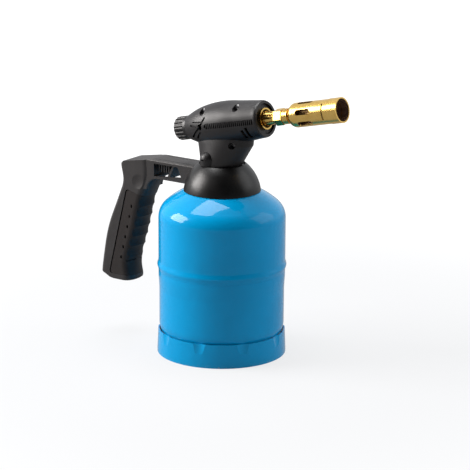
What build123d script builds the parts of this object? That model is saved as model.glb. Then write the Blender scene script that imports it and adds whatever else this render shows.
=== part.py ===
from build123d import *
import os
from math import acos, atan2, cos, degrees, hypot, radians, sin, sqrt

# Handgrip torch: a welded steel gas cylinder, a torch that screws onto it, a jug handle and a burner.
# Millimetres. Origin at the centre of the foot ring's underside, +Z up, +X towards the burner.

# Shared fits
fit_gap = 0.05
part_gap = 0.3
seam_gap = 0.1
overrun = 5.0

# Gas cylinder shells
shell_r = 55.0
shell_wall = 1.5
lower_inset = 0.8
joggle_rise = 0.7
joggle_z = 58.0
joggle_run = 11.0
seam_z = 73.5
lap_length = 8.5
lip_run = 2.0
bead_height = 9.9
bead_rise = 1.0
knuckle_r = 17.0
knuckle_z = 120.0
crown_r = 75.0
base_knuckle_r = 17.0
base_knuckle_z = 27.0
base_crown_r = 200.0

# Foot ring
ring_overhang = 1.0
ring_taper = 0.8
ring_height = 20.5
ring_wall = 1.0
ring_bead_height = 2.5
ring_bead_wall = 2.2
crimp_count = 9
crimp_r = 16.5
crimp_height = 8.5
crimp_turn = -35.3

# Neck boss
neck_r = 13.0
neck_bore_r = 8.0
neck_stand = 6.953
neck_socket = 9.0
neck_lower_r = 10.0
neck_shank = 11.0
neck_tail = 6.0
neck_weld_r = 15.5
neck_weld_height = 1.8

# Self-closing valve in the neck
insert_r = 5.45
insert_flange = 1.2
insert_depth = 14.0
insert_cap = 2.6
insert_lip = 2.5
chamber_r = 3.4
valve_hole_r = 1.8
vent_hole_r = 1.0
valve_seal_height = 0.8
poppet_r = 3.0
poppet_height = 1.8
poppet_stem_r = 1.2
poppet_stem_length = 3.4
poppet_lift = 1.0
spring_r = 2.7
spring_wall = 1.0

# Inlet stack of the torch
inlet_seal_r = 7.4
inlet_seal_hole_r = 3.2
inlet_seal_height = 1.0
flange_r = 10.5
flange_height = 2.7
inlet_bore_r = 3.0
inlet_bore_top = 15.0
inlet_passage_r = 1.6
stem_r = 6.0
stem_thread_r = 5.0
stem_thread_length = 11.0
filter_height = 6.5
pin_r = 1.0
pin_head_height = 2.0
pin_head_rise = 2.5
lock_nut_flats = 18.0
lock_nut_height = 4.0

# Bell collar
bell_rim_r = 33.4
bell_rim_gap = 0.6
bell_rim_step = 1.1
bell_arc_r = 36.4
bell_wall = 2.5
bell_ceiling = 2.3
bell_lip_r = 20.5
bell_lip_wall = 0.5
bell_lip_rise = 1.7

# Handle arm
eye_r = 17.0
eye_height = 3.3
arm_width = 24.0
arm_depth = 16.5
arm_end_x = 12.0
arm_bend_x = 67.0
arm_saddle_x = 31.0
arm_step_x = 24.0
arm_step_rise = 5.2
arm_eye_x = 17.5
arm_arch_r = 11.0
arm_arch_x = 61.5
arm_edge_r = 1.5
arm_line_y = 7.5
arm_line_width = 0.8
arm_line_depth = 0.4
arm_line_length = 40.0
window_rear_x = 64.2
window_front_x = 35.2
window_top_front_x = 39.1
window_top_drop = 3.2
window_low_rise = 1.9
window_slant = 2.5
window_rib = 1.1
window_rib_pitch = 2.6
window_rib_count = 5
window_rib_width = 17.0
brace_width = 20.0
brace_foot_x = 52.0
brace_head_x = 45.0
brace_thickness = 2.2
window_rib_rise = 6.0
underside_rim = 2.2

# Grip column
grip_width = 26.0
grip_rear_x = 123.0
grip_depth = 33.0
grip_bottom_z = 48.5
grip_rise = 1.7
grip_crown = 5.0
grip_front_round = 8.0
grip_rear_round = 3.5
heel_x = 97.0
heel_drop = 5.1
heel_rear_x = 101.6
heel_rear_drop = 9.0
toe_x = 110.5
toe_rise = 6.0
foot_chamfer = 1.2
dish_r = 6.6
dish_depth = 0.8
dish_x = 80.9
dish_drop = 21.9

# Height, rear reach, depth and front crown of the grip's sections, bottom first
grip_shares = [
    (0.000, 0.997, 0.970, 0.875),
    (0.056, 0.999, 0.979, 0.875),
    (0.116, 0.992, 0.927, 1.000),
    (0.210, 0.978, 0.930, 1.000),
    (0.345, 0.954, 0.991, 1.000),
    (0.480, 0.915, 0.973, 1.000),
    (0.597, 0.869, 0.900, 1.000),
    (0.700, 0.829, 0.855, 0.875),
    (0.785, 0.804, 0.882, 0.500),
    (0.854, 0.811, 0.964, 0.200),
    (0.914, 0.821, 1.000, 0.200),
    (1.000, 0.805, 0.939, 0.200),
]

# Finger pad let into the grip
pad_thickness = 2.2
pad_top_x = 93.0
pad_top_drop = 30.3
pad_foot_x = 112.6
pad_foot_rise = 5.0
pad_front_x = 60.0
pad_top_slope = 9.0
pad_corner_r = 3.0
pad_groove = 1.3
pad_joint = 0.15
finger_groove_count = 6
finger_groove_pitch = 9.6
finger_groove_rise = 14.1
finger_groove_width = 1.0
finger_groove_depth = 0.7
finger_groove_run = 5.5
finger_groove_start = 2.5
finger_groove_tilt = 12.0
finger_recess_r = 14.0
finger_recess_depth = 0.6
dot_count = 6
dot_length = 3.0
dot_width = 1.7
dot_depth = 1.8
dot_foot_x = 100.0
dot_foot_rise = 16.6
dot_top_x = 88.4
dot_top_drop = 14.8

# Torch axis and head shells
torch_tilt = 12.76
torch_rise = 38.63
head_r = 19.1
head_length = 78.55
head_rear = 32.8
head_wall = 2.2
neck_base_length = 35.0
neck_base_width = 36.7
neck_base_x = -0.9
neck_waist_rise = 20.4
neck_waist_length = 53.9
neck_waist_width = 32.0
neck_waist_x = 3.35
neck_merge_rise = 32.4
neck_merge_length = 54.0
neck_merge_width = 29.0
neck_merge_x = 5.0
head_floor = 2.2
head_floor_hole_r = 11.5
web_thickness = 2.5
web_rear_start = -19.0
web_front_start = 9.0
web_nose_start = 41.0

# Stations and radii of the head's barrel, rear first
barrel_shares = [
    (0.000, 0.571),
    (0.052, 0.664),
    (0.143, 0.805),
    (0.280, 0.937),
    (0.428, 1.000),
    (0.575, 0.990),
    (0.716, 0.930),
    (0.820, 0.895),
    (0.961, 0.842),
    (0.984, 0.830),
    (1.000, 0.800),
]

# Head screws
screw_upper_rear = (-12.8, 10.57)
screw_upper_front = (21.5, 18.17)
screw_neck = (18.5, -14.93)
screw_boss_r = 3.9
screw_hole_r = 2.9
screw_head_r = 2.7
screw_head_height = 2.0
screw_seat_y = 6.0
screw_r = 1.4
screw_length = 14.0
screw_drive_r = 1.1
screw_drive_depth = 1.2

# Surface details of the head
skin_depth = 1.6
side_hole = (-11.9, 0.8)
side_hole_r = 2.6
side_hole_reach = 12.0
groove_width = 1.7
groove_front = (-5.3, 8.8)
groove_rear = (-24.0, -7.6)
tail_groove_end = (-23.6, 2.8)
upper_groove_front = (-9.7, 5.1)
upper_groove_rear = (-20.6, 5.4)
upper_groove_width = 0.8
tail_groove_width = 1.2
notch_front = (-11.5, -3.4)
notch_rear = (-18.6, -8.8)
band_start = -4.6
band_length = 47.5
band_height = 4.7
band_rise = 1.1
band_drop = 1.0
band_rib_count = 24
band_slot = 1.15
band_point = 2.6
vent_width = 2.5
vent_rear = (30.6, -9.6)
vent_rear_length = 7.6
vent_front = (35.0, -8.7)
vent_front_length = 9.6
vent_lean = 5.0
bump_r = 6.7
bump_x = -5.1
bump_y = 14.6
bump_height = 7.2
bump_slot_width = 4.5
bump_slot_height = 1.1
bump_slot_depth = 1.6

# Torch valve
block_r = 8.0
block_rear = -22.0
block_front = 12.0
block_boss_r = 7.5
block_boss_gap = 0.2
gland_r = 6.0
gland_depth = 5.0
spindle_thread_r = 4.6
spindle_thread_end = -8.0
gas_chamber_r = 3.0
seat_start = 2.0
seat_length = 2.0
orifice_r = 0.9
jet_bore_r = 5.0
gas_passage_r = 1.5
packing_height = 2.0
nut_flats = 14.0
nut_head = 6.0
nut_spigot = 2.8
nut_lip = 1.0
spindle_r = 2.5
oring_r = 2.9
oring_height = 1.2
oring_station = -25.5
oring_groove_depth = 0.8
needle_r = 2.2
needle_cone = 2.4
needle_gap = 0.1
needle_travel = 1.125

# Regulator knob
knob_r = 10.3
knob_rear = -45.7
knob_front = -33.3
knob_hub_r = 6.5
knob_hub_front = -30.5
knob_flute_count = 18
knob_flute_r = 1.3
knob_flute_depth = 1.1
knob_collar = 2.4
knob_edge_r = 1.4
knob_floor = 2.6
knob_recess_r = 3.4
knob_screw_r = 1.25
knob_screw_head_r = 3.1
knob_screw_head = 1.7
knob_screw_length = 7.0

# Burner, stations along the torch axis
jet_length = 3.0
jet_hole_r = 0.4
spigot_start = 7.3
stem_flange_r = 7.0
stem_flange_length = 3.0
stem_tube_r = 5.0
stem_bore_r = 2.5
cage_start = 41.0
cage_r = 6.6
cage_end = 57.6
cage_end_r = 5.0
cage_shoulder = 6.0
cage_slot_count = 12
cage_slot_turn = 26.0
cage_slot_width = 1.1
cage_slot_start = 46.0
cage_slot_length = 10.1
mixing_r = 3.3
mixing_wall = 0.9
mixing_start = 44.0
mixing_end = 104.5
sleeve_r = 9.2
sleeve_wall = 1.2
sleeve_start = 40.0
sleeve_end = 46.4
hex_flats = 12.8
hex_length = 7.4
hex_turn = -18.0
collar_r = 6.7
collar_length = 6.0
collar_step_r = 5.6
collar_step = 1.1
collar_groove = 0.35
collar_groove_count = 2
cup_neck_r = 5.3
cup_neck_length = 1.9
cup_r = 10.45
cup_wall = 0.9
cup_shoulder_end = 78.5
cup_end = 113.2
cup_spigot = 3.5
cup_slot_count = 6
cup_slot_start = 82.3
cup_slot_end = 97.2
cup_slot_width = 4.8
cup_slot_turn = 72.4
slit_count = 3
slit_start = 108.4
slit_width = 1.4
slit_span = 80.0
slit_turn = 81.5
mouth_end = 123.6
mouth_rise = 0.3
holder_end = 103.5
holder_length = 3.0
holder_hole_count = 8
holder_hole_r = 1.3

# Radii and heights that follow from the shells
lower_r = shell_r - lower_inset
ring_r = shell_r + ring_overhang
ring_top_r = ring_r - ring_taper
crown_centre_z = knuckle_z - sqrt((crown_r - knuckle_r) ** 2 - (shell_r - knuckle_r) ** 2)
neck_top_z = crown_centre_z + sqrt(crown_r ** 2 - neck_r ** 2) + neck_stand
neck_floor_z = neck_top_z - neck_socket
neck_step_z = neck_top_z - neck_shank
neck_bottom_z = neck_step_z - neck_tail

# Heights that follow from the stack on the neck
insert_top_z = neck_floor_z + insert_flange
inlet_seal_z = insert_top_z + fit_gap
inlet_nose_z = inlet_seal_z + inlet_seal_height + fit_gap
flange_z = neck_top_z + part_gap
eye_z = flange_z + flange_height
arm_top_z = eye_z + eye_height
bell_floor_z = arm_top_z + bell_ceiling
lock_nut_top_z = bell_floor_z + lock_nut_height
block_boss_z = lock_nut_top_z + block_boss_gap
stem_top_z = block_boss_z + stem_thread_length
arm_bottom_z = arm_top_z - arm_depth
valve_seat_z = insert_top_z - insert_lip
poppet_top_z = valve_seat_z - valve_seal_height - poppet_lift
insert_bottom_z = insert_top_z - insert_depth

# Heights along the grip and the head
grip_height = arm_top_z + grip_rise - grip_bottom_z
dish_z = arm_top_z - dish_drop
pad_top_z = arm_top_z - pad_top_drop
pad_foot_z = grip_bottom_z + pad_foot_rise
finger_groove_z = pad_foot_z + finger_groove_rise
dot_foot_z = pad_foot_z + dot_foot_rise
dot_top_z = pad_top_z - dot_top_drop
torch_z = arm_top_z + torch_rise
bump_top_z = bell_floor_z + bump_height

torch_frame = Plane(
    origin=(0, 0, torch_z),
    x_dir=(-sin(radians(torch_tilt)), 0, cos(radians(torch_tilt))),
    z_dir=(cos(radians(torch_tilt)), 0, sin(radians(torch_tilt))),
)


def rod(radius, low, high):
    """Cylinder about Z between two heights."""
    return Pos(0, 0, low) * Cylinder(radius, high - low, align=(Align.CENTER, Align.CENTER, Align.MIN))


def tube(radius, bore, low, high):
    """Tube about Z between two heights."""
    return rod(radius, low, high) - rod(bore, low - overrun, high + overrun)


def hexagon(flats, low, high):
    """Hexagonal prism about Z between two heights."""
    return Pos(0, 0, low) * extrude(RegularPolygon(flats / 2, 6, major_radius=False), high - low)


def block(low, high):
    """Box between two opposite corners."""
    size = [b - a for a, b in zip(low, high)]
    return Pos(*low) * Box(*size, align=(Align.MIN, Align.MIN, Align.MIN))


def lines(*points):
    """Straight edges through the points, in order."""
    return [Line(a, b) for a, b in zip(points, points[1:])]


def arc(centre_x, centre_z, radius, start, end):
    """Arc about a centre between two angles in radians."""
    angles = (start, (start + end) / 2, end)
    return ThreePointArc(*[(centre_x + radius * cos(a), centre_z + radius * sin(a)) for a in angles])


def turned(*edges):
    """Solid of revolution about Z from edges whose x is the radius and y the height."""
    return revolve(Plane.XZ * make_face(edges), Axis.Z)


def turned_outline(*points):
    """Solid of revolution about Z from a closed polygon of radius and height."""
    return turned(*lines(*points, points[0]))


def side_plate(points, width):
    """Plate of the given width across Y from a closed polygon in the XZ plane."""
    return extrude(Plane.XZ * make_face(lines(*points, points[0])), width / 2, both=True)


def along_torch(piece):
    """Move a piece modelled about Z onto the tilted torch axis."""
    return torch_frame.location * piece


def end_arcs(radius, knuckle, centre_z, crown, hole_r, inset, up):
    """Knuckle and crown arcs of a dished end, from the side wall to the hole or the axis."""
    side = radius - knuckle
    drop = sqrt((crown - knuckle) ** 2 - side ** 2)
    lean = atan2(drop, side)
    crown_centre = centre_z - up * drop
    hole_lean = acos(hole_r / (crown - inset))
    return [
        arc(side, centre_z, knuckle - inset, 0, up * lean),
        arc(0, crown_centre, crown - inset, up * lean, up * hole_lean),
    ]


def crown_height(radius):
    """Height of the upper shell's outside at a radius on its crown."""
    return crown_centre_z + sqrt(crown_r ** 2 - radius ** 2)


def base_radius(height):
    """Radius of the lower shell's outside at a height on its knuckle."""
    return lower_r - base_knuckle_r + sqrt(base_knuckle_r ** 2 - (base_knuckle_z - height) ** 2)


def make_upper_shell():
    hole_r = neck_r + fit_gap
    outside = end_arcs(shell_r, knuckle_r, knuckle_z, crown_r, hole_r, 0, 1)
    inside = end_arcs(shell_r, knuckle_r, knuckle_z, crown_r, hole_r, shell_wall, 1)
    bead = Spline(
        (shell_r, seam_z),
        (shell_r + bead_rise, seam_z + bead_height / 2),
        (shell_r, seam_z + bead_height),
        tangents=[(0, 1), (0, 1)],
    )
    inner_r = shell_r - shell_wall
    return turned(
        bead,
        *lines((shell_r, seam_z + bead_height), (shell_r, knuckle_z)),
        *outside,
        *lines(outside[-1] @ 1, inside[-1] @ 1),
        *inside,
        *lines((inner_r, knuckle_z), (inner_r, seam_z), (shell_r, seam_z)),
    )


def make_lower_shell():
    outside = end_arcs(lower_r, base_knuckle_r, base_knuckle_z, base_crown_r, 0, 0, -1)
    inside = end_arcs(lower_r, base_knuckle_r, base_knuckle_z, base_crown_r, 0, shell_wall, -1)
    lip_r = shell_r - shell_wall - fit_gap
    wide_r = lower_r + joggle_rise
    step_z = seam_z - seam_gap
    lip_top = seam_z + lap_length
    return turned(
        *outside,
        *lines(
            (lower_r, base_knuckle_z),
            (lower_r, joggle_z),
            (wide_r, joggle_z + joggle_run),
            (wide_r, step_z),
            (lip_r, step_z),
            (lip_r, lip_top),
            (lip_r - shell_wall, lip_top),
            (lip_r - shell_wall, step_z - shell_wall),
            (wide_r - shell_wall, step_z - shell_wall - lip_run),
            (wide_r - shell_wall, joggle_z + joggle_run),
            (lower_r - shell_wall, joggle_z),
            (lower_r - shell_wall, base_knuckle_z),
        ),
        *inside,
        *lines(inside[-1] @ 1, outside[-1] @ 1),
    )


def crimp_cone(grow):
    """Press of a crimp about Z, deepest at the ring's top and narrowing downwards to nothing."""
    depth = ring_top_r - base_radius(ring_height) - fit_gap - ring_wall
    wide_r = crimp_r + grow
    cone = Cone(wide_r - depth, wide_r, crimp_height, align=(Align.CENTER, Align.CENTER, Align.MIN))
    return Pos(0, 0, ring_height - crimp_height) * cone


def make_foot_ring():
    wall_top = ring_top_r - ring_wall
    body = turned_outline(
        (ring_r, 0),
        (ring_r, ring_bead_height),
        (ring_top_r, ring_height),
        (wall_top, ring_height),
        (ring_r - ring_wall, ring_bead_height),
        (ring_r - ring_bead_wall, ring_bead_height),
        (ring_r - ring_bead_wall, 0),
    )
    centre_r = base_radius(ring_height) + fit_gap + ring_wall + crimp_r
    outer = Pos(-centre_r, 0, 0) * rod(wall_top + ring_wall / 2, 0, ring_height)
    bump = crimp_cone(ring_wall) & outer
    dent = crimp_cone(0) + rod(crimp_r, ring_height, ring_height + overrun)
    for step in range(crimp_count):
        place = Rot(0, 0, crimp_turn + 360 * step / crimp_count) * Pos(centre_r, 0, 0)
        body = body + place * bump - place * dent
    return body


def make_neck_boss():
    weld_z = crown_height(neck_r) + fit_gap
    return turned_outline(
        (insert_r + fit_gap, neck_bottom_z),
        (neck_lower_r, neck_bottom_z),
        (neck_lower_r, neck_step_z),
        (neck_r, neck_step_z),
        (neck_r, weld_z),
        (neck_weld_r, crown_height(neck_weld_r) + fit_gap),
        (neck_r, weld_z + neck_weld_height),
        (neck_r, neck_top_z),
        (neck_bore_r, neck_top_z),
        (neck_bore_r, neck_floor_z),
        (insert_r + fit_gap, neck_floor_z),
    )


def make_valve_insert():
    body = rod(insert_r, insert_bottom_z, neck_floor_z)
    body += rod(neck_bore_r - fit_gap, neck_floor_z, insert_top_z)
    body -= rod(chamber_r, insert_bottom_z + insert_cap, valve_seat_z)
    body -= rod(valve_hole_r, valve_seat_z - overrun, insert_top_z + overrun)
    return body - rod(vent_hole_r, insert_bottom_z - overrun, insert_bottom_z + overrun)


def make_valve_seat_seal():
    return tube(chamber_r - fit_gap, valve_hole_r, valve_seat_z - valve_seal_height, valve_seat_z)


def make_valve_poppet():
    disc_z = poppet_top_z - poppet_height
    return rod(poppet_r, disc_z, poppet_top_z) + rod(poppet_stem_r, disc_z - poppet_stem_length, disc_z)


def make_valve_spring():
    low = insert_bottom_z + insert_cap
    return tube(spring_r, spring_r - spring_wall, low, poppet_top_z - poppet_height)


def make_inlet_seal():
    return tube(inlet_seal_r, inlet_seal_hole_r, inlet_seal_z, inlet_seal_z + inlet_seal_height)


def make_inlet_adaptor():
    thread_r = neck_bore_r - fit_gap
    body = rod(thread_r, inlet_nose_z, flange_z) + rod(flange_r, flange_z, eye_z)
    body += rod(stem_r, eye_z, block_boss_z) + rod(stem_thread_r, block_boss_z, stem_top_z)
    body -= rod(inlet_bore_r, inlet_nose_z - overrun, inlet_nose_z + inlet_bore_top)
    return body - rod(inlet_passage_r, inlet_nose_z, stem_top_z + overrun)


def make_depressor_pin():
    head_z = inlet_nose_z + pin_head_rise
    head = extrude(RegularPolygon(inlet_bore_r - fit_gap, 3), pin_head_height)
    return rod(pin_r, poppet_top_z + fit_gap, head_z) + Pos(0, 0, head_z) * head


def make_inlet_filter():
    top = inlet_nose_z + inlet_bore_top
    return rod(inlet_bore_r - fit_gap, top - filter_height, top)


def make_lock_nut():
    nut = hexagon(lock_nut_flats, bell_floor_z, lock_nut_top_z)
    return nut - rod(stem_r + fit_gap, bell_floor_z - overrun, lock_nut_top_z + overrun)


def bell_centre():
    """Centre of the bell's arc, which runs from the rim to the lip."""
    rim = (bell_rim_r, crown_height(bell_rim_r) + bell_rim_gap)
    lip = (bell_lip_r, bell_floor_z + bell_lip_rise)
    half = hypot(rim[0] - lip[0], rim[1] - lip[1]) / 2
    reach = sqrt(bell_arc_r ** 2 - half ** 2)
    turn = atan2(lip[1] - rim[1], lip[0] - rim[0])
    middle = ((rim[0] + lip[0]) / 2, (rim[1] + lip[1]) / 2)
    return middle[0] - reach * sin(turn), middle[1] + reach * cos(turn)


def bell_arc(inset, low, high):
    """Arc of the bell's wall between two heights."""
    centre_x, centre_z = bell_centre()
    radius = bell_arc_r - inset
    start = atan2(low - centre_z, sqrt(radius ** 2 - (low - centre_z) ** 2))
    end = atan2(high - centre_z, sqrt(radius ** 2 - (high - centre_z) ** 2))
    return arc(centre_x, centre_z, radius, start, end)


def bell_form():
    """The bell without its slot for the arm."""
    rim_z = crown_height(bell_rim_r) + bell_rim_gap
    lip_z = bell_floor_z + bell_lip_rise
    outer = bell_arc(0, rim_z, lip_z)
    inner = bell_arc(bell_wall, rim_z + bell_rim_step, arm_top_z)
    hole_r = stem_r + fit_gap
    recess_edge = bell_lip_r - bell_lip_wall
    return turned(
        outer,
        *lines(
            outer @ 1,
            (recess_edge, lip_z),
            (recess_edge, bell_floor_z),
            (hole_r, bell_floor_z),
            (hole_r, arm_top_z),
            inner @ 1,
        ),
        inner,
        *lines(inner @ 0, outer @ 0),
    )


def make_bell_collar():
    half = arm_width / 2 + seam_gap
    slot = block((-bell_rim_r - overrun, -half, 0), (-arm_eye_x, half, arm_top_z))
    return bell_form() - slot


def grip_section(height_share, rear_share, depth_share, crown_share, inset):
    """Horizontal section of the grip with its crowned front, drawn in by the inset."""
    half = grip_width / 2 - inset
    rear = -(grip_rear_x * rear_share - inset)
    front = -(grip_rear_x * rear_share - grip_depth * depth_share) - inset
    side = front - grip_crown * crown_share
    outline = lines((side, half), (rear, half), (rear, -half), (side, -half))
    outline.append(ThreePointArc((side, -half), (front, 0), (side, half)))
    face = make_face(outline)
    face = fillet(face.vertices().group_by(Axis.X)[0], grip_rear_round - inset)
    face = fillet(face.vertices().group_by(Axis.X)[-1], grip_front_round - inset)
    return Pos(0, 0, grip_bottom_z + grip_height * height_share) * face


def grip_form(inset):
    """The grip column from its foot to above the heel."""
    return loft([grip_section(*shares, inset) for shares in grip_shares])


def heel_cut():
    """What lies above the handle's sloping top."""
    high = arm_top_z + grip_rise + overrun
    return side_plate(
        [
            (-arm_bend_x, arm_top_z),
            (-heel_x, arm_top_z - heel_drop),
            (-heel_rear_x, arm_top_z - heel_rear_drop),
            (-grip_rear_x, arm_top_z - heel_rear_drop),
            (-grip_rear_x, high),
            (0, high),
            (0, arm_top_z),
        ],
        grip_width + overrun,
    )


def toe_cut():
    """The slope at the rear of the grip's foot."""
    rear_x = grip_rear_x + overrun
    rear_rise = toe_rise * (rear_x - toe_x) / (grip_rear_x - toe_x)
    return side_plate(
        [
            (-toe_x, grip_bottom_z),
            (-rear_x, grip_bottom_z + rear_rise),
            (-rear_x, grip_bottom_z - overrun),
            (-toe_x, grip_bottom_z - overrun),
        ],
        grip_width + overrun,
    )


def arm_form():
    """The arm from the eye to the grip column."""
    step_z = arm_bottom_z + arm_step_rise
    inside_x = arm_arch_x + arm_arch_r + overrun
    outline = lines(
        (-arm_end_x, eye_z),
        (-arm_end_x, arm_top_z),
        (-inside_x, arm_top_z),
        (-inside_x, arm_bottom_z - arm_arch_r),
        (-arm_arch_x - arm_arch_r, arm_bottom_z - arm_arch_r),
    )
    outline.append(arc(-arm_arch_x, arm_bottom_z - arm_arch_r, arm_arch_r, radians(180), radians(90)))
    outline += lines(
        (-arm_arch_x, arm_bottom_z),
        (-arm_saddle_x, arm_bottom_z),
        (-arm_step_x, step_z),
        (-arm_eye_x, eye_z),
        (-arm_end_x, eye_z),
    )
    arm = extrude(Plane.XZ * make_face(outline), arm_width / 2, both=True)
    arm = arm - heel_cut()
    top_edges = arm.faces().sort_by(Axis.Z)[-1].edges().filter_by(Axis.X)
    return fillet(top_edges, arm_edge_r)


def window_inner():
    """Ribs and brace across the arm's window."""
    low = arm_bottom_z + window_low_rise / 2
    high = arm_top_z - window_top_drop / 2
    pieces = side_plate(
        [
            (-brace_foot_x, low),
            (-brace_foot_x + brace_thickness, low),
            (-brace_head_x + brace_thickness, high),
            (-brace_head_x, high),
        ],
        brace_width,
    )
    rib_z = arm_bottom_z + window_rib_rise
    for step in range(window_rib_count):
        x = -window_rear_x + window_rib_pitch * (step + 1)
        pieces += block((x, -window_rib_width / 2, rib_z), (x + window_rib, window_rib_width / 2, high))
    return pieces


def pad_outline(grow):
    """Side outline of the finger pad, grown at its rear line and its ends."""
    ends = min(grow, pad_joint)
    climb = pad_top_slope * grow / (pad_top_x - pad_front_x)
    return FilletPolyline(
        (-pad_front_x, pad_top_z - pad_top_slope + ends),
        (-pad_top_x - grow, pad_top_z + climb + ends),
        (-pad_foot_x - grow, pad_foot_z - ends),
        (-pad_front_x, pad_foot_z - ends),
        radius=[0, pad_corner_r, pad_corner_r, 0],
        close=True,
    )


def pad_region(grow):
    return extrude(Plane.XZ * make_face(pad_outline(grow)), grip_width, both=True)


def make_handle_frame(grip, core):
    column = grip - heel_cut() - toe_cut()
    foot_edges = column.faces().sort_by(Axis.Z)[0].edges()
    column = chamfer(foot_edges, foot_chamfer)
    column = column - pad_region(pad_groove) + (core & pad_region(pad_groove + overrun)) - toe_cut()
    saddle = bell_form() & block(
        (-bell_rim_r - overrun, -arm_width / 2, 0),
        (-arm_eye_x, arm_width / 2, arm_bottom_z + arm_step_rise / 2),
    )
    window = side_plate(
        [
            (-window_rear_x, arm_bottom_z + window_low_rise),
            (-window_front_x, arm_bottom_z + window_low_rise + window_slant),
            (-window_top_front_x, arm_top_z - window_top_drop),
            (-window_rear_x, arm_top_z - window_top_drop),
        ],
        grip_width + overrun,
    )
    underside = block(
        (-window_rear_x + underside_rim, underside_rim - arm_width / 2, arm_bottom_z - overrun),
        (-window_front_x - underside_rim, arm_width / 2 - underside_rim, arm_bottom_z + window_rib_rise),
    )
    arm = arm_form() - window - underside + window_inner()
    line = block((0, 0, 0), (arm_line_length, arm_line_width, arm_line_depth + overrun))
    line_x = -arm_bend_x + overrun
    line_z = arm_top_z - arm_line_depth
    ball_r = (dish_r ** 2 + dish_depth ** 2) / (2 * dish_depth)
    for side in (-1, 1):
        arm -= Pos(line_x, side * arm_line_y - arm_line_width / 2, line_z) * line
        column -= Pos(-dish_x, side * (grip_width / 2 - dish_depth + ball_r), dish_z) * Sphere(ball_r)
    frame = column + arm + saddle + rod(eye_r, eye_z, arm_top_z)
    return frame - rod(stem_r + fit_gap, eye_z - overrun, arm_top_z + overrun)


def make_grip_pad(grip, core):
    pad = (grip & pad_region(0)) - core
    grooved = grip_form(finger_groove_depth)
    crown_radius = (grip_width ** 2 / 4 + grip_crown ** 2) / (2 * grip_crown)
    for step in range(finger_groove_count):
        z = finger_groove_z + finger_groove_pitch * step
        share = (z - grip_bottom_z) / grip_height
        front = -front_reach(share)
        bar = Box(2 * finger_groove_run, grip_width, finger_groove_width)
        for side in (-1, 1):
            y = side * (finger_groove_start + grip_width / 2)
            pad -= Pos(front, y, z) * Rot(0, -finger_groove_tilt, 0) * bar - grooved
        recess_z = z + finger_groove_pitch / 2
        reach = front_reach((recess_z - grip_bottom_z) / grip_height)
        scoop = Torus(crown_radius + finger_recess_r - finger_recess_depth, finger_recess_r)
        pad -= Pos(-reach - crown_radius, 0, recess_z) * scoop
    for step in range(dot_count):
        share = step / (dot_count - 1)
        x = -dot_foot_x + (dot_foot_x - dot_top_x) * share
        z = dot_foot_z + (dot_top_z - dot_foot_z) * share
        dot = extrude(SlotOverall(dot_length, dot_width, rotation=90), dot_depth + overrun)
        for side in (-1, 1):
            place = Pos(x, side * (grip_width / 2 - dot_depth), z) * Rot(-90 * side, 0, 0)
            pad -= place * dot
    return pad


def front_reach(share):
    """Distance of the grip's front face from the cylinder's axis at a share of the height."""
    for lower, upper in zip(grip_shares, grip_shares[1:]):
        if lower[0] <= share <= upper[0]:
            mix = (share - lower[0]) / (upper[0] - lower[0])
            reach = [grip_rear_x * row[1] - grip_depth * row[2] for row in (lower, upper)]
            return reach[0] + (reach[1] - reach[0]) * mix
    return grip_rear_x * grip_shares[-1][1] - grip_depth * grip_shares[-1][2]


def barrel(inset, extend):
    """The head's barrel about Z, drawn in by the inset and run on past both ends."""
    points = [(head_r * r - inset, head_length * s - head_rear) for s, r in barrel_shares]
    rear, front = points[0], points[-1]
    ends = [front, (0, front[1]), (0, rear[1]), rear]
    if extend:
        ends = [
            front,
            (front[0], front[1] + extend),
            (0, front[1] + extend),
            (0, rear[1] - extend),
            (rear[0], rear[1] - extend),
            rear,
        ]
    return turned(Spline(*points), *lines(*ends))


def neck(inset):
    """The head's neck, from the bell's recess up into the barrel."""
    base = Pos(neck_base_x, 0, bell_floor_z) * Ellipse(neck_base_length / 2 - inset, neck_base_width / 2 - inset)
    waist = Pos(neck_waist_x, 0, bell_floor_z + neck_waist_rise)
    waist = waist * Ellipse(neck_waist_length / 2 - inset, neck_waist_width / 2 - inset)
    merge = Pos(neck_merge_x, 0, bell_floor_z + neck_merge_rise)
    merge = merge * Ellipse(neck_merge_length / 2 - inset, neck_merge_width / 2 - inset)
    return loft([base, waist, merge], ruled=True)


def web(start, bore, outer):
    """Cross wall of the head about Z that holds an inner piece."""
    wall = rod(head_r, start, start + web_thickness) & outer
    return wall - rod(bore, start - overrun, start + web_thickness + overrun)


def flat_bar(start, end, width):
    """Bar from one point of the torch's side view to another, across the whole head."""
    run = hypot(end[0] - start[0], end[1] - start[1])
    turn = degrees(atan2(end[1] - start[1], end[0] - start[0]))
    middle = ((start[0] + end[0]) / 2, (start[1] + end[1]) / 2)
    bar = Rot(0, -turn, 0) * Box(run, 2 * head_r + overrun, width)
    return side_view(middle) * bar


def side_view(point):
    """Place on the middle plane at a station along the torch axis and a rise from it."""
    tilt = radians(torch_tilt)
    x = point[0] * cos(tilt) - point[1] * sin(tilt)
    z = torch_z + point[0] * sin(tilt) + point[1] * cos(tilt)
    return Pos(x, 0, z) * Rot(0, -torch_tilt, 0)


def head_form(inset, extend):
    return along_torch(barrel(inset, extend)) + neck(inset)


def screw_place(spot):
    """Place of a head screw, whose own Z then points to the side with the screw heads."""
    return Pos(spot[0], 0, torch_z + spot[1]) * Rot(90, 0, 0)


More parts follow.
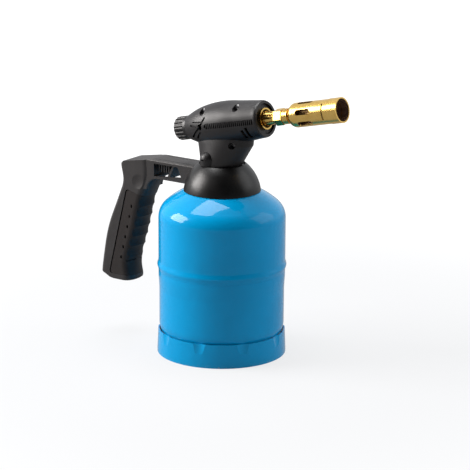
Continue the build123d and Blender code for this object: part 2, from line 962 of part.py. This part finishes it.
def surface_cuts():
    """Grooves, ribs and notches that both sides of the head share, still full depth."""
    cuts = [
        flat_bar(groove_rear, side_hole, groove_width),
        flat_bar(side_hole, groove_front, groove_width),
        flat_bar(tail_groove_end, side_hole, tail_groove_width),
        flat_bar(upper_groove_rear, upper_groove_front, upper_groove_width),
        flat_bar(notch_rear, notch_front, groove_width),
    ]
    pitch = band_length / band_rib_count
    for step in range(band_rib_count):
        share = (step + 1 / 2) / band_rib_count
        place = side_view((band_start + pitch * (step + 1 / 2), band_rise - band_drop * share))
        cuts.append(place * Box(band_slot, 2 * head_r + overrun, band_height))
    tip = side_plate([(0, band_height / 2), (0, -band_height / 2), (-band_point, 0)], 2 * head_r + overrun)
    cuts.append(side_view((band_start - seam_gap, band_rise)) * tip)
    return cuts


def vent_cuts():
    cuts = []
    for spot, length in ((vent_rear, vent_rear_length), (vent_front, vent_front_length)):
        slot = Rot(0, -vent_lean, 0) * Box(vent_width, 2 * head_r + overrun, length)
        cuts.append(side_view(spot) * slot)
    return cuts


def head_body():
    """Both halves of the casing as one hollow form, before the screws and the split."""
    outer = head_form(0, 0)
    reach = 2 * head_r
    floor = block((-reach, -reach, 0), (reach, reach, bell_floor_z + head_floor))
    inner_neck = neck(head_wall) - floor
    body = outer - along_torch(barrel(head_wall, overrun)) - inner_neck
    body -= rod(head_floor_hole_r, bell_floor_z - overrun, bell_floor_z + neck_waist_rise)
    webs = Part()
    for start, bore in ((web_rear_start, block_r), (web_front_start, block_r), (web_nose_start, sleeve_r)):
        webs += web(start, bore + fit_gap, barrel(0, 0))
    bosses = Part()
    for spot in (screw_upper_rear, screw_upper_front, screw_neck):
        bosses += screw_place(spot) * Cylinder(screw_boss_r, 2 * head_r)
    body = body + along_torch(webs) + (bosses & outer)
    core = head_form(skin_depth, 0)
    for cut in surface_cuts():
        body -= cut - core
    for cut in vent_cuts():
        body -= cut - side_hollow()
    return body


def side_hollow():
    """Middle of the head, which the vents stop short of."""
    return block((-2 * head_r, -block_r, 0), (4 * head_r, block_r, torch_z + 2 * head_r))


def make_head_shells():
    body = head_body()
    reach = 4 * head_r
    right = body & block((-reach, -reach, 0), (reach, -seam_gap, torch_z + reach))
    left = body & block((-reach, seam_gap, 0), (reach, reach, torch_z + reach))
    bump_foot_z = bell_floor_z + bell_lip_rise + part_gap
    bump = rod(bump_r, bump_foot_z, bump_top_z) + Pos(0, 0, bump_top_z) * Sphere(bump_r)
    bump = Pos(bump_x, -bump_y, 0) * bump
    bump -= head_form(head_wall / 2, 0)
    slot_y = -bump_y - bump_r + bump_slot_depth / 2
    bump -= Pos(bump_x, slot_y, bump_top_z) * Box(bump_slot_width, bump_slot_depth, bump_slot_height)
    right += bump
    hole = rod(side_hole_r, side_hole_reach, head_r + overrun)
    right -= side_view(side_hole) * Rot(90, 0, 0) * hole
    left -= side_view(side_hole) * Rot(-90, 0, 0) * hole
    for spot in (screw_upper_rear, screw_upper_front, screw_neck):
        place = screw_place(spot)
        right -= place * rod(screw_hole_r, screw_seat_y, 2 * head_r)
        right -= place * rod(screw_r + fit_gap, 0, 2 * head_r)
        left -= place * rod(screw_r + fit_gap, screw_seat_y - screw_length - part_gap, 0)
    return right, left


def make_head_screws():
    screw = rod(screw_head_r, screw_seat_y, screw_seat_y + screw_head_height)
    screw += rod(screw_r, screw_seat_y - screw_length, screw_seat_y)
    drive = extrude(RegularPolygon(screw_drive_r, 6), screw_drive_depth + overrun)
    screw -= Pos(0, 0, screw_seat_y + screw_head_height - screw_drive_depth) * drive
    places = [screw_place(spot) for spot in (screw_upper_rear, screw_upper_front, screw_neck)]
    return Compound([place * screw for place in places])


def make_torch_valve_body():
    main = rod(block_r, block_rear, block_front)
    main -= rod(gland_r + fit_gap, block_rear - overrun, block_rear + gland_depth)
    main -= rod(spindle_thread_r, block_rear, spindle_thread_end)
    main -= rod(gas_chamber_r, spindle_thread_end - overrun, seat_start)
    main -= rod(orifice_r, 0, seat_start + seat_length + overrun)
    main -= rod(jet_bore_r, seat_start + seat_length, block_front + overrun)
    bore_z = stem_top_z + fit_gap
    boss = rod(block_boss_r, block_boss_z, torch_z)
    boss -= along_torch(rod(block_r - fit_gap, block_rear, block_front))
    boss -= rod(stem_thread_r + fit_gap, block_boss_z - overrun, bore_z)
    body = along_torch(main) + boss
    return body - rod(gas_passage_r, bore_z - overrun, torch_z - gas_passage_r)


def make_gland_packing():
    end = block_rear + gland_depth
    return along_torch(tube(gland_r, spindle_r + fit_gap, end - packing_height, end))


def make_packing_nut():
    head = hexagon(nut_flats, block_rear - nut_head, block_rear)
    nut = head + rod(gland_r, block_rear, block_rear + nut_spigot)
    nut -= rod(oring_r + fit_gap, block_rear - nut_head + nut_lip, block_rear + nut_spigot + overrun)
    return along_torch(nut - rod(spindle_r + fit_gap, block_rear - nut_head - overrun, block_rear))


def make_spindle_oring():
    bore = spindle_r - oring_groove_depth + fit_gap
    return along_torch(tube(oring_r, bore, oring_station, oring_station + oring_height))


def make_needle_spindle():
    thread_rear = block_rear + gland_depth + needle_travel + fit_gap
    tip = seat_start - needle_gap
    body = rod(spindle_r, knob_rear + knob_floor, thread_rear)
    body += rod(spindle_thread_r - fit_gap, thread_rear, spindle_thread_end - needle_gap)
    body += rod(needle_r, spindle_thread_end - needle_gap, tip - needle_cone)
    cone = Cone(needle_r, orifice_r / 2, needle_cone, align=(Align.CENTER, Align.CENTER, Align.MIN))
    body += Pos(0, 0, tip - needle_cone) * cone
    groove_low = oring_station - fit_gap
    groove_high = oring_station + oring_height + fit_gap
    body -= tube(spindle_r + overrun, spindle_r - oring_groove_depth, groove_low, groove_high)
    screw_bore = rod(knob_screw_r + fit_gap, knob_rear, knob_rear + knob_floor + knob_screw_length)
    return along_torch(body - screw_bore)


def make_control_knob():
    knob = rod(knob_r, knob_rear, knob_front)
    knob = fillet(knob.edges().group_by(Axis.Z)[0], knob_edge_r)
    flute = rod(knob_flute_r, knob_rear - overrun, knob_front - knob_collar)
    flute = Pos(knob_r + knob_flute_r - knob_flute_depth, 0, 0) * flute
    for step in range(knob_flute_count):
        knob -= Rot(0, 0, 360 * step / knob_flute_count) * flute
    knob += rod(knob_hub_r, knob_front, knob_hub_front)
    knob -= rod(knob_recess_r, knob_rear - overrun, knob_rear + knob_floor - part_gap)
    return along_torch(knob - rod(spindle_r + fit_gap, knob_rear, knob_hub_front + overrun))


def make_knob_screw():
    seat = knob_rear + knob_floor - part_gap
    screw = rod(knob_screw_head_r, seat - knob_screw_head, seat)
    screw += rod(knob_screw_r, seat, seat + knob_screw_length)
    slot = Pos(0, 0, seat - knob_screw_head) * Box(2 * knob_screw_head_r, screw_drive_r, screw_drive_depth)
    return along_torch(screw - slot)


def make_injector_jet():
    start = seat_start + seat_length + fit_gap
    return along_torch(tube(jet_bore_r - fit_gap, jet_hole_r, start, start + jet_length))


def make_burner_stem():
    stem = rod(jet_bore_r - fit_gap, spigot_start, block_front)
    stem += rod(stem_flange_r, block_front, block_front + stem_flange_length)
    stem += rod(stem_tube_r, block_front, cage_start)
    stem += turned_outline(
        (0, cage_start),
        (stem_tube_r, cage_start),
        (cage_r, cage_start + cage_r - stem_tube_r),
        (cage_r, cage_start + cage_shoulder),
        (cage_end_r, cage_end),
        (0, cage_end),
    )
    stem -= rod(stem_bore_r, spigot_start - overrun, mixing_start)
    stem -= rod(mixing_r + fit_gap, mixing_start, cage_end + overrun)
    for step in range(cage_slot_count):
        slot = block(
            (mixing_r + mixing_wall, -cage_slot_width / 2, cage_slot_start),
            (cage_r + overrun, cage_slot_width / 2, cage_slot_start + cage_slot_length),
        )
        stem -= Rot(0, 0, cage_slot_turn + 360 * step / cage_slot_count) * slot
    return along_torch(stem)


def make_mixing_tube():
    return along_torch(tube(mixing_r, mixing_r - mixing_wall, mixing_start + fit_gap, mixing_end))


def make_nose_sleeve():
    return along_torch(tube(sleeve_r, sleeve_r - sleeve_wall, sleeve_start, sleeve_end))


def make_hex_nut():
    nut = Rot(0, 0, hex_turn) * hexagon(hex_flats, cage_end, cage_end + hex_length)
    return along_torch(nut - rod(mixing_r + fit_gap, cage_end - overrun, cage_end + hex_length + overrun))


def make_ribbed_ring():
    start = cage_end + hex_length
    end = start + collar_length
    bore = mixing_r + fit_gap
    ring = turned_outline(
        (bore, start),
        (collar_step_r, start),
        (collar_step_r, start + collar_step),
        (collar_r, start + collar_step),
        (collar_r, end),
        (bore, end),
    )
    for step in range(collar_groove_count):
        share = (step + 1) / (collar_groove_count + 1)
        groove_z = start + collar_step + (collar_length - collar_step) * share
        ring -= tube(collar_r + overrun, collar_r - collar_groove, groove_z, groove_z + collar_groove)
    return along_torch(ring)


def make_burner_body():
    start = cage_end + hex_length + collar_length
    shoulder = start + cup_neck_length
    run = cup_shoulder_end - shoulder
    rise = cup_r - cup_neck_r
    centre = (cup_neck_r, cup_shoulder_end)
    outer_curve = EllipticalCenterArc(centre, rise, run, start_angle=270, arc_size=90)
    inner_curve = EllipticalCenterArc(centre, rise - cup_wall, run - cup_wall, start_angle=270, arc_size=90)
    bore = mixing_r + fit_gap
    spigot_r = cup_r - cup_wall
    body = turned(
        *lines((bore, start), (cup_neck_r, start), (cup_neck_r, shoulder)),
        outer_curve,
        *lines(
            (cup_r, cup_shoulder_end),
            (cup_r, cup_end),
            (spigot_r, cup_end),
            (spigot_r, cup_end + cup_spigot),
            (spigot_r - cup_wall, cup_end + cup_spigot),
            (spigot_r - cup_wall, cup_end - cup_wall),
            (cup_r - cup_wall, cup_end - 2 * cup_wall),
            (cup_r - cup_wall, cup_shoulder_end),
        ),
        inner_curve,
        *lines((cup_neck_r, shoulder + cup_wall), (bore, shoulder + cup_wall), (bore, start)),
    )
    slot_length = cup_slot_end - cup_slot_start
    slot = extrude(SlotOverall(slot_length, cup_slot_width, rotation=90), cup_r + overrun)
    slot = Pos(0, 0, (cup_slot_start + cup_slot_end) / 2) * Rot(90, 0, 0) * slot
    slot -= rod(mixing_r + cup_wall, cup_slot_start - overrun, cup_slot_end + overrun)
    for step in range(cup_slot_count):
        body -= Rot(0, 0, cup_slot_turn + 90 + 360 * step / cup_slot_count) * slot
    slit = revolve(
        Plane.XZ * make_face(lines(
            (spigot_r - cup_wall, slit_start),
            (cup_r + overrun, slit_start),
            (cup_r + overrun, slit_start + slit_width),
            (spigot_r - cup_wall, slit_start + slit_width),
            (spigot_r - cup_wall, slit_start),
        )),
        Axis.Z,
        slit_span,
    )
    for step in range(slit_count):
        body -= Rot(0, 0, slit_turn - slit_span / 2 + 360 * step / slit_count) * slit
    return along_torch(body)


def make_burner_tube():
    bore = cup_r - cup_wall + fit_gap
    return along_torch(tube(cup_r + mouth_rise, bore, cup_end + fit_gap, mouth_end))


def make_flame_holder():
    outer = cup_r - cup_wall - fit_gap
    start = holder_end - holder_length
    disc = tube(outer, mixing_r + fit_gap, start, holder_end)
    hole = rod(holder_hole_r, start - overrun, holder_end + overrun)
    centre_r = (outer + mixing_r) / 2
    for step in range(holder_hole_count):
        disc -= Rot(0, 0, 360 * step / holder_hole_count) * Pos(centre_r, 0, 0) * hole
    return along_torch(disc)


def make_parts():
    grip = grip_form(0)
    core = grip_form(pad_thickness)
    right, left = make_head_shells()
    return {
        "lower_shell": make_lower_shell(),
        "upper_shell": make_upper_shell(),
        "foot_ring": make_foot_ring(),
        "neck_boss": make_neck_boss(),
        "valve_insert": make_valve_insert(),
        "valve_seat_seal": make_valve_seat_seal(),
        "valve_poppet": make_valve_poppet(),
        "valve_spring": make_valve_spring(),
        "inlet_seal": make_inlet_seal(),
        "inlet_adaptor": make_inlet_adaptor(),
        "depressor_pin": make_depressor_pin(),
        "inlet_filter": make_inlet_filter(),
        "lock_nut": make_lock_nut(),
        "bell_collar": make_bell_collar(),
        "handle_frame": make_handle_frame(grip, core),
        "grip_pad": make_grip_pad(grip, core),
        "head_shell_right": right,
        "head_shell_left": left,
        "head_screws": make_head_screws(),
        "torch_valve_body": make_torch_valve_body(),
        "gland_packing": make_gland_packing(),
        "packing_nut": make_packing_nut(),
        "spindle_oring": make_spindle_oring(),
        "needle_spindle": make_needle_spindle(),
        "control_knob": make_control_knob(),
        "knob_screw": make_knob_screw(),
        "injector_jet": make_injector_jet(),
        "burner_stem": make_burner_stem(),
        "mixing_tube": make_mixing_tube(),
        "nose_sleeve": make_nose_sleeve(),
        "hex_nut": make_hex_nut(),
        "ribbed_ring": make_ribbed_ring(),
        "burner_body": make_burner_body(),
        "burner_tube": make_burner_tube(),
        "flame_holder": make_flame_holder(),
    }


os.makedirs("parts", exist_ok=True)
for node, piece in make_parts().items():
    export_step(piece, f"parts/{node}.step")
    print(node, len(piece.solids()))
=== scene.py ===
from math import cos, pi, radians, sin

import bpy
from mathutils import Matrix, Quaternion, Vector

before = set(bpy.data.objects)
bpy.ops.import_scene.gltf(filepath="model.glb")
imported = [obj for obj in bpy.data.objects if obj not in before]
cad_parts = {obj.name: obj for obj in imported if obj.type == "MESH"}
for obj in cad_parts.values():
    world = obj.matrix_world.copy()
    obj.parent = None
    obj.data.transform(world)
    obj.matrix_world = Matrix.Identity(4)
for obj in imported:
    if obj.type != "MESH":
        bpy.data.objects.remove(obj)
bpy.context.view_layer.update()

# Lengths are in metres, except where a name says otherwise.
UP = Vector((0, 0, 1))
WHITE = (1, 1, 1)

# The torch axis: the barrel, the knob and the burner lie along it.
TORCH_TILT = radians(12.76)
AXIS = Vector((cos(TORCH_TILT), 0, sin(TORCH_TILT)))
AXIS_POINT = Vector((0, 0, 0.20193))

# The camera stands on the torch's right, somewhat towards the burner and a little above.
CAMERA_PLACE = Vector((1.1497, -1.6406, 0.6461))
CAMERA_TARGET = Vector((0.00925, 0.00640, 0.10338))
CAMERA_ROLL = radians(0.369)
FOCAL_LENGTH_MM = 183.83
SENSOR_WIDTH_MM = 36.0
CLIP_END = 50.0
VIEW_AZIMUTH = radians(34.7)
TO_CAMERA = Vector((sin(VIEW_AZIMUTH), -cos(VIEW_AZIMUTH), 0))
TO_RIGHT = Vector((cos(VIEW_AZIMUTH), sin(VIEW_AZIMUTH), 0))

LAMP_TARGET = Vector((0, 0, 0.12))
# A lamp's power for each square metre of it and each unit of its strength.
LAMP_WATTS = pi

FLOOR_REACH = 9.0
FLOOR_COLOUR = (0.30, 0.31, 0.33)
FLOOR_GLOW = 1.25
FLOOR_GLOW_MIRRORED = 0.45
# Between these distances the share of the floor that glows rises between these shares, so
# that the object's shadow lies on the floor near it and the rest is white.
FLOOR_FADE = (0.2, 0.9)
FLOOR_SHARES = (0.62, 1.0)

# What the surfaces mirror: pale behind the object and dark on the camera's side.
ROOM_FADE = (-0.35, 0.6)
ROOM_PALE = (0.95, 0.97, 1.0)
ROOM_DARK = (0.03, 0.03, 0.032)
ROOM_STRENGTH = 0.8

# What lights them: a fill from the left and from the right, and a little from elsewhere.
FILL_COLOUR = (0.93, 0.97, 1)
FILL_LEFT = 1.1
FILL_RIGHT = 1.6
FILL_ELSEWHERE = 0.05
FILL_START = 0.3


class Tree:
    """Short calls that add nodes to one material or world."""

    def __init__(self, owner):
        owner.use_nodes = True
        self.tree = owner.node_tree
        self.tree.nodes.clear()

    def add(self, kind, **settings):
        node = self.tree.nodes.new(kind)
        for name, value in settings.items():
            setattr(node, name, value)
        return node

    def put(self, socket, value):
        """Link an output to the socket, or set its value, in which a colour has no alpha."""
        if isinstance(value, bpy.types.NodeSocket):
            self.tree.links.new(value, socket)
        elif socket.type == "RGBA":
            socket.default_value = (*value, 1)
        else:
            socket.default_value = value

    def math(self, operation, a, b):
        node = self.add("ShaderNodeMath", operation=operation)
        self.put(node.inputs[0], a)
        self.put(node.inputs[1], b)
        return node.outputs[0]

    def vector(self, operation, a, b=(0, 0, 0)):
        node = self.add("ShaderNodeVectorMath", operation=operation)
        self.put(node.inputs[0], a)
        self.put(node.inputs["Scale"] if operation == "SCALE" else node.inputs[1], b)
        return node.outputs["Value" if operation in ("DOT_PRODUCT", "LENGTH") else "Vector"]

    def coordinate(self, name):
        return self.add("ShaderNodeTexCoord").outputs[name]

    def noise(self, where, size, detail=2.0, rough=0.5):
        """Soft noise whose features are about size metres across."""
        node = self.add("ShaderNodeTexNoise")
        self.put(node.inputs["Vector"], where)
        self.put(node.inputs["Scale"], 1 / size)
        self.put(node.inputs["Detail"], detail)
        self.put(node.inputs["Roughness"], rough)
        return node.outputs["Fac"]

    def span(self, value, old, new=(0.0, 1.0)):
        """Value eased from an old range to a new one, and held at its ends."""
        node = self.add("ShaderNodeMapRange", interpolation_type="SMOOTHSTEP")
        self.put(node.inputs["Value"], value)
        self.put(node.inputs["From Min"], old[0])
        self.put(node.inputs["From Max"], old[1])
        self.put(node.inputs["To Min"], new[0])
        self.put(node.inputs["To Max"], new[1])
        return node.outputs["Result"]

    def blend(self, share, a, b):
        """Colour a where share is 0 and b where it is 1."""
        node = self.add("ShaderNodeMix", data_type="RGBA")
        self.put(node.inputs["Factor"], share)
        self.put(node.inputs["A"], a)
        self.put(node.inputs["B"], b)
        return node.outputs["Result"]

    def bump(self, height, depth, below=None):
        """Bump whose height of 1 is depth metres, over another bump if one is given."""
        node = self.add("ShaderNodeBump")
        self.put(node.inputs["Distance"], depth)
        self.put(node.inputs["Height"], height)
        if below is not None:
            self.put(node.inputs["Normal"], below)
        return node.outputs["Normal"]

    def rays(self):
        """1 for what is seen directly or through glass, and 1 for what is mirrored."""
        path = self.add("ShaderNodeLightPath").outputs
        seen = self.math("MAXIMUM", path["Is Camera Ray"], path["Is Transmission Ray"])
        return seen, path["Is Glossy Ray"]

    def shader(self, kind, **values):
        """Shader with values for its inputs, in whose names _ stands for a space."""
        node = self.add(kind)
        for name, value in values.items():
            self.put(node.inputs[name.replace("_", " ")], value)
        return node.outputs[0]

    def mix(self, share, a, b):
        """Shader a where share is 0 and b where it is 1."""
        node = self.add("ShaderNodeMixShader")
        self.put(node.inputs[0], share)
        self.put(node.inputs[1], a)
        self.put(node.inputs[2], b)
        return node.outputs[0]

    def end(self, kind, shader):
        self.put(self.add(kind).inputs["Surface"], shader)


def material_from(name, paint):
    """Material whose surface is what paint gives for its tree and the place on the object."""
    material = bpy.data.materials.new(name)
    tree = Tree(material)
    surface = tree.shader("ShaderNodeBsdfPrincipled", **paint(tree, tree.coordinate("Object")))
    tree.end("ShaderNodeOutputMaterial", surface)
    return material


def scaled(colour, factors):
    return tuple(channel * factor for channel, factor in zip(colour, factors))


def enamel(name, colour):
    """Glossy enamel: faint orange peel, a little shade in the colour and scuffs low on the foot."""
    deep = scaled(colour, (0.93, 0.93, 0.93))
    scuff_colour = (0.25, 0.33, 0.4)
    scuff_heights = (0.0005, 0.0032)
    scuff_share = 0.6
    peel_depth = 0.00002
    wave_depth = 0.00008

    def paint(tree, where):
        shade = tree.span(tree.noise(where, size=0.05, detail=3.0), (0.3, 0.7))
        low = tree.span(tree.vector("DOT_PRODUCT", where, UP), scuff_heights, (1.0, 0.0))
        worn = tree.span(tree.noise(where, size=0.0016, detail=4.0, rough=0.7), (0.56, 0.62))
        scuff = tree.math("MULTIPLY", tree.math("MULTIPLY", low, worn), scuff_share)
        gloss = tree.noise(where, size=0.012, detail=3.0)
        peel = tree.noise(where, size=0.0022, detail=1.5)
        waves = tree.bump(tree.noise(where, size=0.018), wave_depth)
        return {
            "Base_Color": tree.blend(scuff, tree.blend(shade, deep, colour), scuff_colour),
            "Roughness": tree.span(gloss, (0.3, 0.75), (0.22, 0.32)),
            "Normal": tree.bump(peel, peel_depth, waves),
            "Specular_IOR_Level": 0.02,
            "Coat_Weight": 1.0,
            "Coat_Roughness": 0.05,
            "Coat_IOR": 1.3,
        }

    return material_from(name, paint)


def plastic(name, colour, rough, grain, depth, shine=0.5):
    """Moulded black plastic: eroded grain, faint flow marks and polished high spots."""
    light = scaled(colour, (1.25, 1.25, 1.25))
    flow_stretch = (1, 1, 0.35)
    flow_depth = 0.00006
    wear_roughness = (-0.04, 0.05)

    def paint(tree, where):
        flow = tree.noise(tree.vector("MULTIPLY", where, flow_stretch), size=0.011, detail=3.0)
        wear = tree.span(tree.noise(where, size=0.02), (0.35, 0.7), wear_roughness)
        fine = tree.noise(where, size=grain, rough=0.6)
        return {
            "Base_Color": tree.blend(tree.span(flow, (0.3, 0.75)), colour, light),
            "Roughness": tree.math("ADD", wear, rough),
            "Normal": tree.bump(fine, depth, tree.bump(flow, flow_depth)),
            "Specular_IOR_Level": shine,
        }

    return material_from(name, paint)


def torch_radius(tree, where):
    """Vector from the torch axis to a place, its length, and the station along the axis."""
    offset = tree.vector("SUBTRACT", where, AXIS_POINT)
    station = tree.vector("DOT_PRODUCT", offset, AXIS)
    across = tree.vector("SUBTRACT", offset, tree.vector("SCALE", AXIS, station))
    return across, tree.vector("LENGTH", across), station


def turned_brass(name, colour, soot_and_shade=0.0):
    """Turned brass: fine rings about the torch axis, a little tarnish, soot and painted shade in
    the bores.
    """
    tan = scaled(colour, (0.80, 0.70, 0.55))
    tan_share = 0.55
    # Soot colours, which also paint the shade inside the bores; the soot roughness goes with them.
    soot_and_shade_colours = (0.14, 0.075, 0.05), (0.23, 0.12, 0.06)
    soot_and_shade_roughness = 0.35
    ring_slant = 0.6
    ring_depth = 0.000003

    def paint(tree, where):
        across, radius, station = torch_radius(tree, where)
        mark = tree.add("ShaderNodeCombineXYZ")
        tree.put(mark.inputs["X"], station)
        tree.put(mark.inputs["Y"], tree.math("MULTIPLY", radius, ring_slant))
        rings = tree.noise(mark.outputs[0], size=0.00045, detail=4.0, rough=0.65)
        cloud = tree.span(tree.noise(where, size=0.007, detail=4.0, rough=0.6), (0.35, 0.75))
        clean = tree.blend(tree.math("MULTIPLY", cloud, tan_share), colour, tan)
        # The surface of a bore looks at the torch axis; there soot and painted shade darken the
        # brass.
        facing = tree.vector("DOT_PRODUCT", tree.coordinate("Normal"), across)
        inside = tree.span(tree.math("DIVIDE", facing, radius), (-0.5, -0.1), (1.0, 0.0))
        # Soot and painted shade: in the bores, and over the whole part by the soot argument.
        sooty_and_shaded = tree.math("MAXIMUM", inside, soot_and_shade)
        turned = tree.span(rings, (0.35, 0.7), (0.21, 0.27))
        return {
            "Base_Color": tree.blend(sooty_and_shaded, clean, tree.blend(cloud, *soot_and_shade_colours)),
            "Roughness": tree.math("ADD", turned, tree.math("MULTIPLY", sooty_and_shaded, soot_and_shade_roughness)),
            "Normal": tree.bump(rings, ring_depth),
            "Metallic": tree.span(sooty_and_shaded, (0.0, 1.0), (1.0, 0.0)),
        }

    return material_from(name, paint)


def rubber(name):
    """Matt black rubber with a little dust."""
    clean = (0.018, 0.018, 0.018)
    dusty = (0.035, 0.034, 0.033)
    grain_depth = 0.00001

    def paint(tree, where):
        dust = tree.span(tree.noise(where, size=0.003, detail=4.0), (0.4, 0.7))
        return {
            "Base_Color": tree.blend(dust, clean, dusty),
            "Roughness": 0.75,
            "Normal": tree.bump(tree.noise(where, size=0.0004), grain_depth),
        }

    return material_from(name, paint)


def steel(name, colour, rough):
    """Bright steel with fine drawn grain."""
    deep = scaled(colour, (0.85, 0.85, 0.85))
    grain_stretch = (1, 1, 6)
    grain_depth = 0.000006

    def paint(tree, where):
        grain = tree.noise(tree.vector("MULTIPLY", where, grain_stretch), size=0.0008, detail=3.0)
        return {
            "Base_Color": tree.blend(tree.span(grain, (0.3, 0.7)), deep, colour),
            "Roughness": rough,
            "Normal": tree.bump(grain, grain_depth),
            "Metallic": 1.0,
        }

    return material_from(name, paint)


dressing = (
    (enamel("blue_enamel", (0.0, 0.30, 0.61)),
     ("lower_shell", "upper_shell", "foot_ring")),
    (plastic("handle_black", (0.0180, 0.0152, 0.0150), rough=0.50, grain=0.00055, depth=0.00004),
     ("handle_frame",)),
    (plastic("pad_black", (0.0165, 0.0125, 0.0115), rough=0.55, grain=0.0005, depth=0.00003,
             shine=0.3),
     ("grip_pad",)),
    (plastic("head_black", (0.0055, 0.0042, 0.0048), rough=0.44, grain=0.0005, depth=0.000035),
     ("head_shell_right", "head_shell_left")),
    (plastic("knob_black", (0.0065, 0.0057, 0.0058), rough=0.40, grain=0.0005, depth=0.00003),
     ("control_knob",)),
    (plastic("collar_black", (0.0020, 0.0016, 0.0016), rough=0.35, grain=0.0012, depth=0.000012,
             shine=0.4),
     ("bell_collar",)),
    (turned_brass("cup_brass", (0.84, 0.56, 0.165)),
     ("burner_body", "burner_tube")),
    (turned_brass("nose_brass", (0.82, 0.55, 0.16)),
     ("burner_stem", "nose_sleeve", "hex_nut", "ribbed_ring")),
    # The parts deep inside the burner are darkened all over by soot and painted shade.
    (turned_brass("sooty_and_shaded_brass", (0.42, 0.26, 0.09), soot_and_shade=0.35),
     ("mixing_tube", "flame_holder")),
    (turned_brass("fitting_brass", (0.72, 0.55, 0.25)),
     ("valve_insert", "valve_poppet", "inlet_adaptor", "torch_valve_body", "packing_nut",
      "needle_spindle", "injector_jet", "lock_nut", "inlet_filter")),
    (rubber("black_rubber"),
     ("valve_seat_seal", "inlet_seal", "gland_packing", "spindle_oring")),
    (steel("turned_steel", (0.55, 0.56, 0.57), rough=0.35),
     ("neck_boss",)),
    (steel("bright_steel", (0.62, 0.62, 0.63), rough=0.25),
     ("valve_spring", "depressor_pin", "knob_screw")),
    (steel("plated_steel", (0.92, 0.92, 0.93), rough=0.38),
     ("head_screws",)),
)
for material, nodes in dressing:
    for node in nodes:
        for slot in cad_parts[node].material_slots:
            slot.material = material


def link(name, data):
    """Object in the scene that holds a mesh, a lamp or a lens."""
    holder = bpy.data.objects.new(name, data)
    bpy.context.scene.collection.objects.link(holder)
    return holder


def softbox(name, azimuth, elevation, distance, width, height, strength, colour=WHITE):
    """Area light at an azimuth from the camera's side (right is positive), facing the object."""
    azimuth, elevation = radians(azimuth), radians(elevation)
    side = TO_CAMERA * cos(azimuth) + TO_RIGHT * sin(azimuth)
    direction = side * cos(elevation) + UP * sin(elevation)
    lamp = bpy.data.lights.new(name, "AREA")
    lamp.shape = "RECTANGLE"
    lamp.size = width
    lamp.size_y = height
    lamp.energy = strength * LAMP_WATTS * width * height
    lamp.color = colour
    holder = link(name, lamp)
    holder.location = LAMP_TARGET + direction * distance
    holder.rotation_euler = direction.to_track_quat("Z", "Y").to_euler()


def make_floor():
    """Floor that takes the object's shadow, and glows white for what sees or mirrors it."""
    mesh = bpy.data.meshes.new("floor")
    signs = ((-1, -1), (1, -1), (1, 1), (-1, 1))
    corners = [(x * FLOOR_REACH, y * FLOOR_REACH, 0) for x, y in signs]
    mesh.from_pydata(corners, [], [(0, 1, 2, 3)])
    floor = link("floor", mesh)
    material = bpy.data.materials.new("floor")
    tree = Tree(material)
    seen, mirrored = tree.rays()
    strength = tree.span(mirrored, (0.0, 1.0), (FLOOR_GLOW, FLOOR_GLOW_MIRRORED))
    distance = tree.vector("LENGTH", tree.coordinate("Object"))
    share = tree.math("MULTIPLY", seen, tree.span(distance, FLOOR_FADE, FLOOR_SHARES))
    diffuse = tree.shader("ShaderNodeBsdfDiffuse", Color=FLOOR_COLOUR)
    glow = tree.shader("ShaderNodeEmission", Color=WHITE, Strength=strength)
    mixed = tree.mix(tree.math("MAXIMUM", share, mirrored), diffuse, glow)
    tree.end("ShaderNodeOutputMaterial", mixed)
    mesh.materials.append(material)


def make_world():
    """White where it is seen, a room where it is mirrored, and a fill that lights the rest."""
    world = bpy.data.worlds.new("studio")
    bpy.context.scene.world = world
    tree = Tree(world)
    seen, mirrored = tree.rays()
    direction = tree.coordinate("Generated")
    facing = tree.span(tree.vector("DOT_PRODUCT", direction, TO_CAMERA), ROOM_FADE)
    room_colour = tree.blend(facing, ROOM_PALE, ROOM_DARK)
    sideways = tree.vector("DOT_PRODUCT", direction, TO_RIGHT)
    left = tree.span(sideways, (-1.0, -FILL_START), (FILL_LEFT, 0.0))
    right = tree.span(sideways, (FILL_START, 1.0), (0.0, FILL_RIGHT))
    fill_strength = tree.math("ADD", tree.math("ADD", left, right), FILL_ELSEWHERE)
    room = tree.shader("ShaderNodeBackground", Color=room_colour, Strength=ROOM_STRENGTH)
    fill = tree.shader("ShaderNodeBackground", Color=FILL_COLOUR, Strength=fill_strength)
    white = tree.shader("ShaderNodeBackground", Color=WHITE, Strength=1.0)
    tree.end("ShaderNodeOutputWorld", tree.mix(seen, tree.mix(mirrored, fill, room), white))


def make_camera():
    lens = bpy.data.cameras.new("camera")
    lens.sensor_width = SENSOR_WIDTH_MM
    lens.lens = FOCAL_LENGTH_MM
    lens.clip_end = CLIP_END
    camera = link("camera", lens)
    camera.location = CAMERA_PLACE
    aim = (CAMERA_TARGET - CAMERA_PLACE).to_track_quat("-Z", "Y")
    roll = Quaternion((0, 0, 1), CAMERA_ROLL)
    camera.rotation_euler = (aim @ roll).to_euler()
    bpy.context.scene.camera = camera


softbox("left_box", azimuth=-92, elevation=26, distance=1.5, width=0.85, height=0.80,
        strength=15.0, colour=(1.0, 0.965, 0.94))
softbox("right_box", azimuth=92, elevation=30, distance=1.6, width=1.1, height=1.1, strength=1.2)
softbox("top_box", azimuth=-150, elevation=76, distance=1.6, width=1.3, height=0.7, strength=7.5)
make_floor()
make_world()
make_camera()
bpy.context.scene.view_settings.view_transform = "Standard"
